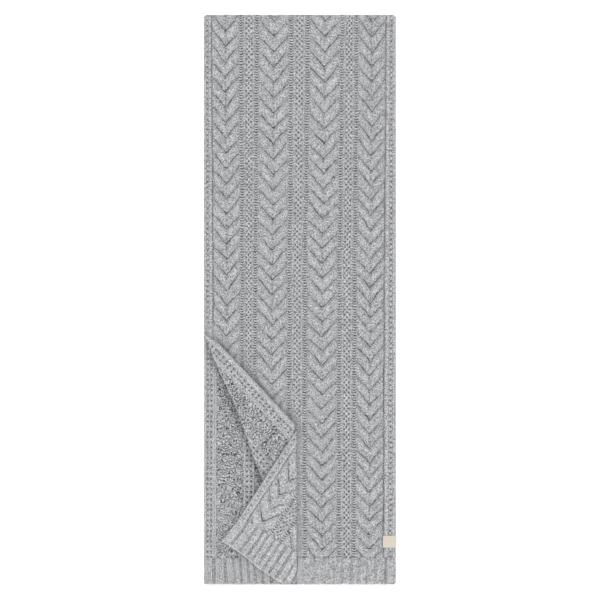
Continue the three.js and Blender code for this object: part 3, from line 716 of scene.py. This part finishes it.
class Value:
    """A number in a material, so that shader maths can be written as expressions."""

    def __init__(self, nodes, socket):
        self.nodes, self.socket = nodes, socket

    def math(self, operation, *others, first=None):
        node = self.nodes.add("Math", operation=operation)
        values = (self, *others) if first is None else (first, self, *others)
        for socket, value in zip(node.inputs, values):
            self.nodes.feed(socket, value)
        return Value(self.nodes, node.outputs[0])

    def __add__(self, other):
        return self.math("ADD", other)

    __radd__ = __add__

    def __sub__(self, other):
        return self.math("SUBTRACT", other)

    def __rsub__(self, other):
        return self.math("SUBTRACT", first=other)

    def __mul__(self, other):
        return self.math("MULTIPLY", other)

    __rmul__ = __mul__

    def __pow__(self, other):
        return self.math("POWER", other)

    def __abs__(self):
        return self.math("ABSOLUTE")

    def wave(self, turns=1.0):
        """1 at each whole number of turns and 0 halfway between."""
        return (self * (2 * math.pi * turns)).math("COSINE") * 0.5 + 0.5

    def from_whole(self):
        """The distance to the nearest whole number."""
        return abs((self + 0.5).math("FRACT") - 0.5)

    def clamped(self):
        return self.math("MAXIMUM", 0.0).math("MINIMUM", 1.0)

    def near(self, width):
        """1 at zero, falling to 0 at a width."""
        return (1 - abs(self) * (1 / width)).clamped()

    def equals(self, other):
        return self.math("COMPARE", float(other), 0.5)


class Nodes:
    """The nodes of one material."""

    def __init__(self, name):
        self.material = bpy.data.materials.new(name)
        self.material.use_nodes = True
        self.tree = self.material.node_tree
        self.tree.nodes.clear()

    def add(self, kind, values=None, **settings):
        """Adds a node with what feeds its inputs and with its settings."""
        node = self.tree.nodes.new("ShaderNode" + kind)
        for key, value in settings.items():
            setattr(node, key, value)
        for key, value in (values or {}).items():
            self.feed(node.inputs[key], value)
        return node

    def feed(self, socket, value):
        if isinstance(value, Value):
            self.tree.links.new(value.socket, socket)
        else:
            socket.default_value = value

    def value(self, node, output=0):
        return Value(self, node.outputs[output])

    def attribute(self, name):
        return self.add("Attribute", attribute_name=name)

    def noise(self, place, scale, detail=2.0, roughness=0.6):
        """A noise about zero, between -0.5 and 0.5."""
        values = {"Vector": place, "Scale": scale, "Detail": detail, "Roughness": roughness}
        return self.value(self.add("TexNoise", values), "Fac") - 0.5

    def blend(self, factor, first, second):
        """A colour between two, where colours are given or come from other nodes."""
        node = self.add("Mix", {"Factor": factor}, data_type="RGBA")
        for socket, colour in zip((node.inputs[6], node.inputs[7]), (first, second)):
            self.feed(socket, colour if isinstance(colour, Value) else (*colour, 1))
        return self.value(node, 2)

    def bump(self, height, strength, distance):
        """The normals of a surface with a height, whose full distance is in millimetres."""
        values = {"Height": height, "Strength": strength, "Distance": distance * MM}
        return self.value(self.add("Bump", values), "Normal")

    def finish(self, values):
        """Ends the material with its surface shader."""
        shader = self.add("BsdfPrincipled", values)
        output = self.add("OutputMaterial")
        self.tree.links.new(shader.outputs[0], output.inputs["Surface"])
        return self.material


def stitch_hollows(nodes, place):
    """How deep the stitches are hollowed at a place, and below 0 how far they stand out, by their kind: it
    paints shade in the hollows and highlights where they stand out, and shapes the bump.
    """
    stitch = nodes.value(nodes.attribute("stitch"), "Vector")
    parts = nodes.add("SeparateXYZ", {"Vector": stitch})
    u, v, kind = (nodes.value(parts, index) for index in range(3))
    bend = nodes.noise(place, BEND_SCALE)
    patchy = (nodes.noise(place, PATCH_SCALE) * PATCH_CONTRAST + 0.5).clamped()
    middle = (u + 0.5).from_whole()
    side = u.from_whole()

    def patched(least, more):
        return patchy * more + least

    # Each kind of stitch gets painted shade in its hollows, less painted highlights where it stands out
    slanted = (v + middle * LEG_SLANT).wave() ** 3
    legs = slanted * LEG_HOLLOW
    legs = legs + side.near(SIDE_WIDTH) * SIDE_HOLLOW - middle.near(RIDGE_WIDTH) * RIDGE_LIGHT
    ribs = slanted * RIB_LEG_HOLLOW + side.near(RIB_SIDE_WIDTH) * RIB_SIDE_HOLLOW
    bow = middle * middle
    arcs = (v + bow * ARC_BOW + bend).wave() ** 4 * (1 - bow * ARC_FADE) * patched(*ARC_DEPTH) - ARC_LIGHT
    turn = (v + u.math("FLOOR")) * 0.5
    dots = (turn + 0.5).wave() ** 3 * (1 - middle * 2.0).clamped() * patched(*DOT_DEPTH)
    dots = dots - turn.wave() ** 3 * DOT_LIGHT
    crossing = (u + bend * CREASE_BEND).from_whole()
    broken = (bend * CREASE_BREAKS + 0.5).clamped()
    depth = (broken * CREASE_BROKEN + patched(*CREASE_DEPTH)) * (CREASE_START - v * CREASE_FADE)
    crease = crossing.near(CREASE_WIDTH) * depth
    plies = u * STRAND_STITCHES
    rows_across = (v + plies.from_whole() * PLY_SLANT).wave() ** 2
    hatch = (plies + bend).wave() ** 3 * PLY_HOLLOW + rows_across * PLY_ROW_HOLLOW
    centre = v.near(CENTRE_WIDTH) * (u * CENTRE_STITCHES + bend).wave() * (patchy * CENTRE_DEPTH)
    puffed = crossing.near(PUFF_WIDTH) * PUFF_HOLLOW - PUFF_LIGHT
    cable = crease.math("MAXIMUM", centre).math("MAXIMUM", hatch) + puffed
    scaled = nodes.add("VectorMath", {0: stitch, 1: STROKE_SCALES}, operation="MULTIPLY")
    strayed = nodes.noise(nodes.value(scaled), STROKE_NOISE, detail=1.5) * STROKE_STRAY
    strokes = (v * STROKE_ROWS + strayed).from_whole().near(STROKE_WIDTH)
    rough = strokes * (bend + patched(*STROKE_DEPTH)) - STROKE_LIGHT
    groove = v.wave() * GROOVE_WAVE + patched(*GROOVE_DEPTH)
    kinds = ((COLUMN, legs), (LADDER, arcs), (MOSS, dots), (CABLE, cable), (RIB, ribs), (ROUGH, rough))
    found = groove * kind.equals(GROOVE)
    for number, hollow_and_painted_shade in kinds:
        found = found + hollow_and_painted_shade * kind.equals(number)
    return found


def knit_material():
    """The melange yarn: light and dark fibres spun together, with painted shade in the hollows between the
    stitches and painted highlights where they stand out.
    """
    name = "knit_yarn"
    if name in bpy.data.materials:
        return bpy.data.materials[name]
    colours, sizes = bpy.context.scene.scarf_colours, bpy.context.scene.scarf_sizes
    nodes = Nodes(name)
    place = nodes.value(nodes.add("TexCoord"), "Object")
    surface = nodes.add("SeparateXYZ", {"Vector": nodes.value(nodes.attribute("surface"), "Vector")})
    relief, shade, soft = (nodes.value(surface, index) for index in range(3))
    hollow_and_painted_shade = stitch_hollows(nodes, place) * (1 - soft) + shade
    relief = (relief * (1 / CABLE_RELIEF)).clamped()
    flecks = nodes.noise(place, FLECK_SCALE, roughness=0.7) * FLECK_CONTRAST * (1 - soft * SOFT_FLECKS)
    share = (flecks + nodes.noise(place, SLOW_SCALE) + 0.5).clamped()
    melange = nodes.blend(share, colours.dark, colours.light)
    # Painted shade in the hollows and on low relief, down to the deepest painted shade, then painted
    # highlights where the shade is below 0
    depth = (hollow_and_painted_shade * HOLLOW_DARKNESS + (1 - relief) * LOW_DARKNESS).clamped()
    colour = nodes.blend(depth, melange, [part * DEEPEST for part in colours.dark])
    colour = nodes.blend((hollow_and_painted_shade * -1.0).clamped(), colour, colours.light)
    height = nodes.noise(place, FIBRE_SCALE) * FIBRE_HEIGHT + share * FLECK_HEIGHT - hollow_and_painted_shade
    return nodes.finish(
        {
            "Base Color": colour,
            "Roughness": 0.95,
            "Specular IOR Level": 0.15,
            "Sheen Weight": 0.12,
            "Sheen Roughness": 0.6,
            "Normal": nodes.bump(height, sizes.stitch_strength, STITCH_BUMP),
        }
    )


def tape_material(colour):
    """A fine woven tape: warp and weft at right angles."""
    nodes = Nodes("woven_tape")
    place = nodes.add("SeparateXYZ", {"Vector": nodes.value(nodes.add("TexCoord"), "Object")})
    threads = 1 / (THREAD * MM)
    weave = nodes.value(place, 0).wave(threads) * nodes.value(place, 1).wave(threads)
    # Painted shade between the threads
    between = [part * THREAD_SHADE for part in colour]
    return nodes.finish(
        {
            "Base Color": nodes.blend(weave, between, colour),
            "Roughness": 0.7,
            "Sheen Weight": 0.1,
            "Normal": nodes.bump(weave, THREAD_STRENGTH, THREAD_BUMP),
        }
    )


def yarn_colour(name, description, default):
    return FloatVectorProperty(
        name=name, description=description, subtype="COLOR", size=3, min=0, max=1, default=default
    )


class ScarfColours(bpy.types.PropertyGroup):
    light: yarn_colour("Light fibres", "The lighter fibres of the melange yarn", (0.69, 0.696, 0.71))
    dark: yarn_colour("Dark fibres", "The darker fibres of the melange yarn", (0.24, 0.245, 0.255))
    tape: yarn_colour("Label", "The woven tape of the label", (0.78, 0.70, 0.61))


def amount(name, description, default, **limits):
    return FloatProperty(name=name, description=description, default=default, min=0, **limits)


class ScarfSizes(bpy.types.PropertyGroup):
    stitch_strength: amount("Stitch depth", "How strongly single stitches stand out", 0.8, max=1)
    tape_thickness: amount("Label thickness", "The thickness of the label's tape", 0.8 * MM, unit="LENGTH")
    sky_strength: amount("Light from all round", "How bright the soft light from all round is", 0.98)
    key_strength: amount("Light from the hem's side", "How bright the light from the hem's side is", 0.75)


class SCARF_OT_back_layer(bpy.types.Operator):
    """Builds the lower layer, reverse side up, with its ribbed end and its face side below"""

    bl_idname = "scarf.back_layer"
    bl_label = "Lower layer"

    def execute(self, context):
        hidden_rows = rows(BACK_START, BACK_SHOWN_DOWN, HIDDEN_SPACING)
        down = np.concatenate([hidden_rows, rows(BACK_SHOWN_DOWN + ROW, HEM_START)])
        lines = net_lines(down[:, 0], reverse=True)
        hidden = lines[0] > BACK_SHOWN_ACROSS
        kept = ~hidden
        kept[np.flatnonzero(hidden)[::HIDDEN_COLUMNS]] = True
        kept[-1] = True
        net = Net(lines[:, kept], down, reverse=True)
        # A painted contact shadow on the lower layer beside the first fold
        from_fold, opened = from_first_fold(back_place(net.across, net.down, 0))
        net.knit.hollow_and_painted_shade += BACK_FOLD_SHADE * bell(from_fold, BACK_FOLD_SHADE_REACH) * opened
        add_cloth("back_cloth", net, back_place, "back_panel", under=BACK_CLOTH_UNDER)
        across = np.concatenate([np.arange(0, BACK_SHOWN_ACROSS, WALE / 3), BACK_HEM_HIDDEN])
        net = Net(across[None, :], rows(HEM_START, LENGTH), reverse=True, rib_depth=BACK_RIB_DEPTH)
        add_cloth("back_hem", net, back_place, "back_rib_hem", under=SHEET_FLOOR)
        down = rows(BACK_START, HEM_START, COARSE_ROW)
        net = Net(net_lines(down[:, 0], coarse=True), down)
        top = np.stack([LEFT + net.across, FOLD_Y - net.down, SHEET_FLOOR + 0 * net.across], axis=-1)
        under = top + (0, 0, BACK_FACE_THICKNESS)
        mesh = net.mesh("back_face", top, under, face_down=True)
        piece = add_piece("back_face", mesh, knit_material(), "back_panel")
        return {"FINISHED"}


class SCARF_OT_front_layer(bpy.types.Operator):
    """Builds the upper layer, face up, from the turn at the middle fold down to its ribbed end"""

    bl_idname = "scarf.front_layer"
    bl_label = "Upper layer"

    def execute(self, context):
        radius = FRONT_TOP / 2
        down = rows(radius * (1 - math.pi), HEM_START)
        for number, band in enumerate(np.array_split(np.arange(len(down) - 1), FRONT_BANDS)):
            part = down[band[0] : band[-1] + 2]
            net = Net(net_lines(part[:, 0]), part)
            self.add(f"front_cloth_{number + 1}", net, "knit_face", "front_panel")
        across = np.linspace(HEM_LOW[0] - LEFT, WIDTH, FRONT_HEM_COLUMNS)
        across = np.append(across[:-1], WIDTH - np.array(RIGHT_EDGE_COLUMNS))
        across.sort()
        depth = FRONT_RIB_DEPTH + FRONT_RIB_DEEPER * smooth_step(*FRONT_RIB_DEEPER_FROM, across / WIDTH)
        depth = depth + LAST_RIB_DEEPER * bell(across - RIB_GROOVES[-1], LAST_RIB_REACH)
        hem = Net(across[None, :], rows(HEM_START, LENGTH), rib_depth=depth)
        # The hem's stitch shade is softened and the hem is painted evenly darker
        hem.knit.soft += FRONT_HEM_SOFT
        hem.knit.hollow_and_painted_shade += FRONT_HEM_SHADE
        self.add("front_hem", hem, "knit_rib", "front_rib_hem")
        return {"FINISHED"}

    @staticmethod
    def add(name, net, slot, node):
        """Adds a piece, with a painted shadow and softened stitch shade beside the flap, and painted light
        beside the corner.
        """
        x, y = LEFT + net.across, FOLD_Y - net.down
        start = front_start(y) if node == "front_panel" else LEFT - 1
        net.keep_where(x > start)
        # A painted shadow beside the flap's free edge, where the stitch shade is also softened
        from_flap = (np.stack([x, y], axis=-1) - FIRST_FOLD_START) @ -FLAP_ACROSS
        shaded = (1 - smooth_step(*FLAP_SHADE_ENDS, from_flap)) * (x < SECOND_FOLD_X + FLAP_SHADE_PAST_FOLD)
        net.knit.soft += FLAP_SOFT * shaded
        net.knit.hollow_and_painted_shade += FLAP_SHADE * shaded
        # Painted light beside the second fold, below the corner's tip
        below_tip = smooth_step(0, CORNER_LIGHT_STARTS, TIP[1] - y)
        from_light = x - SECOND_FOLD_X - CORNER_LIGHT_PLACE
        net.knit.hollow_and_painted_shade -= CORNER_LIGHT * bell(from_light, CORNER_LIGHT_REACH) * below_tip

        def place(across, down, relief):
            points = front_place(across, down, relief)
            points[..., 0] = np.maximum(points[..., 0], start)
            return points

        add_cloth(name, net, place, node, under=FRONT_UNDER)


class SCARF_OT_turned_corner(bpy.types.Operator):
    """Builds the flap between the two folds, and the corner turned back on it with its ribbed end"""

    bl_idname = "scarf.turned_corner"
    bl_label = "Turned corner"

    def execute(self, context):
        down = rows(FIRST_FOLD_DOWN + FLAP_START, FIRST_FOLD_DOWN + FLAP_REACH_DOWN)
        lines = net_lines(down[:, 0], reverse=True)
        net = Net(lines[:, lines[0] < FLAP_REACH_ACROSS], down, reverse=True)
        along = net.down - FIRST_FOLD_DOWN
        plan = flap_plan(net.across, along)
        arc = (flap_inset(along) + (FLAP_GROUND - FRONT_UNDER) / 2) * math.pi / 2
        net.keep_where((past_fold(plan, along) < arc) & (plan[..., 0] + FIRST_FOLD_START[0] < FLAP_HIGH[0]))
        add_cloth("flap_cloth", net, flap_place, "turned_flap")
        reach = np.linalg.norm(TIP - CORNER) / CORNER_STRETCH
        parts = (
            ("corner_cloth", "turned_corner", "knit_face", CORNER_RIB_HEIGHT, reach),
            ("corner_hem", "corner_rib_hem", "knit_rib", 0, CORNER_RIB_HEIGHT),
        )
        for name, node, slot, low, high in parts:
            down = rows(LENGTH - high, LENGTH - low)
            lines = net_lines(down[:, 0])
            if node == "corner_rib_hem":
                lines = np.arange(0, CORNER_REACH_ACROSS, WALE / 3)[None, :]
            lines = lines[:, lines[0] < CORNER_REACH_ACROSS]
            net = Net(lines, down, rib_height=CORNER_RIB_HEIGHT, rib_depth=CORNER_RIB_DEPTH)
            # The turned corner is painted lighter all over, as painted light for lying on top
            net.knit.hollow_and_painted_shade += CORNER_SHADE
            plan = CORNER + net.across[..., None] * CORNER_ACROSS
            plan = plan + ((LENGTH - net.down) * CORNER_STRETCH)[..., None] * CORNER_UP
            arc = (SECOND_FOLD_REACH + (CORNER_UNDER + WALL - FLAP_UNDER) / 2) * math.pi / 2
            net.keep_where(plan[..., 0] < SECOND_FOLD_X - SECOND_FOLD_REACH + arc)
            add_cloth(name, net, corner_place, node)
        return {"FINISHED"}


class SCARF_OT_label(bpy.types.Operator):
    """Builds the bare woven label, folded round the right edge"""

    bl_idname = "scarf.label"
    bl_label = "Label"

    def execute(self, context):
        sizes, colours = context.scene.scarf_sizes, context.scene.scarf_colours
        thickness = sizes.tape_thickness / MM
        front, back = LABEL_LOW[1], LABEL_HIGH[1]
        left, right = LABEL_LOW[0], LABEL_HIGH[0] - thickness
        top = FRONT_GROUND + KNIT_COLUMN_RELIEF + GAP
        steps = np.arange(LABEL_STEPS + 1)
        flat = left + steps * (right - LABEL_FLAT_END - left) / LABEL_STEPS
        section = list(zip(flat, top + LABEL_PUFF * np.sin(steps * LABEL_RIPPLE)))
        section += [(right - inside, top - below) for inside, below in LABEL_TURN]
        section.append((right - LABEL_TURN_END[0], FRONT_UNDER + LABEL_TURN_END[1]))
        section = np.array(section)
        along = np.diff(section, axis=0)
        along = np.vstack([along, along[-1:]])
        normal = np.stack([-along[:, 1], along[:, 0]], axis=1)
        normal /= np.linalg.norm(normal, axis=1)[:, None]
        loop = np.concatenate([section, (section + normal * thickness)[::-1]])
        share = np.linspace(0, 1, LABEL_ROWS)
        places = zip(mix(front, back, share), LABEL_PUFF * np.sin(math.pi * share))
        rings = [np.stack([loop[:, 0], y + 0 * loop[:, 0], loop[:, 1] + puff], axis=1) for y, puff in places]
        count = len(loop)
        index = np.arange(len(rings) * count).reshape(len(rings), count)
        following = np.roll(index, -1, axis=1)
        sides = np.stack([index[:-1], following[:-1], following[1:], index[1:]], axis=-1).reshape(-1, 4)
        k = np.arange(count // 2 - 1)
        end = np.stack([k, k + 1, count - 2 - k, count - 1 - k], axis=-1)
        faces = np.concatenate([sides, end[:, ::-1], end + index[-1, 0]])
        mesh = bpy.data.meshes.new("label_tape")
        mesh.from_pydata((np.concatenate(rings) * MM).tolist(), [], faces.tolist())
        mesh.update()
        piece = add_piece("label_tape", mesh, tape_material(colours.tape), "label")
        return {"FINISHED"}


class SCARF_OT_stage(bpy.types.Operator):
    """Lays a pale floor, soft light from all round and a camera looking straight down"""

    bl_idname = "scarf.stage"
    bl_label = "Floor, light and camera"

    def execute(self, context):
        scene, sizes = context.scene, context.scene.scarf_sizes
        floor_mesh = bpy.data.meshes.new("floor")
        corners = np.array(((-1, -1, 0), (1, -1, 0), (1, 1, 0), (-1, 1, 0))) * FLOOR_REACH
        floor_mesh.from_pydata((corners + (0, 0, FLOOR_LEVEL)).tolist(), [], [(0, 1, 2, 3)])
        floor = add_object("floor", floor_mesh)
        nodes = Nodes("floor")
        pale = {"Base Color": (0.95, 0.95, 0.95, 1), "Roughness": 0.9, "Emission Color": (1, 1, 1, 1)}
        floor_mesh.materials.append(nodes.finish({**pale, "Emission Strength": 0.4}))
        world = bpy.data.worlds.new("soft_light")
        world.use_nodes = True
        background = world.node_tree.nodes["Background"]
        background.inputs["Color"].default_value = (1, 1, 1, 1)
        background.inputs["Strength"].default_value = sizes.sky_strength
        scene.world = world
        sun = bpy.data.lights.new("soft_key", "SUN")
        sun.energy = sizes.key_strength
        sun.angle = math.radians(KEY_SPREAD)
        add_object("soft_key", sun).rotation_euler = [math.radians(angle) for angle in KEY_TILT]
        lens = bpy.data.cameras.new("camera")
        lens.type = "ORTHO"
        lens.ortho_scale = CAMERA_WIDTH
        lens.clip_end = CAMERA_REACH
        scene.camera = add_object("camera", lens)
        scene.camera.location = CAMERA_PLACE
        scene.view_settings.view_transform = "Standard"
        return {"FINISHED"}


STEPS = (
    SCARF_OT_stage,
    SCARF_OT_back_layer,
    SCARF_OT_front_layer,
    SCARF_OT_turned_corner,
    SCARF_OT_label,
)


class SCARF_PT_panel(bpy.types.Panel):
    """Lists the scarf's sizes, colours and steps"""

    bl_label = "Cable-knit scarf"
    bl_idname = "SCARF_PT_panel"
    bl_space_type = "VIEW_3D"
    bl_region_type = "UI"
    bl_category = "Scarf"

    def draw(self, context):
        for group in (context.scene.scarf_sizes, context.scene.scarf_colours):
            for name in group.__annotations__:
                self.layout.prop(group, name)
        for operator in STEPS:
            self.layout.operator(operator.bl_idname)


CLASSES = (ScarfColours, ScarfSizes, *STEPS, SCARF_PT_panel)


def register():
    for cls in CLASSES:
        bpy.utils.register_class(cls)
    bpy.types.Scene.scarf_colours = PointerProperty(type=ScarfColours)
    bpy.types.Scene.scarf_sizes = PointerProperty(type=ScarfSizes)


def unregister():
    del bpy.types.Scene.scarf_sizes
    del bpy.types.Scene.scarf_colours
    for cls in reversed(CLASSES):
        bpy.utils.unregister_class(cls)


def main():
    register()
    bpy.ops.scarf.stage()
    bpy.ops.scarf.back_layer()
    bpy.ops.scarf.front_layer()
    bpy.ops.scarf.turned_corner()
    bpy.ops.scarf.label()


if __name__ == "__main__":
    main()
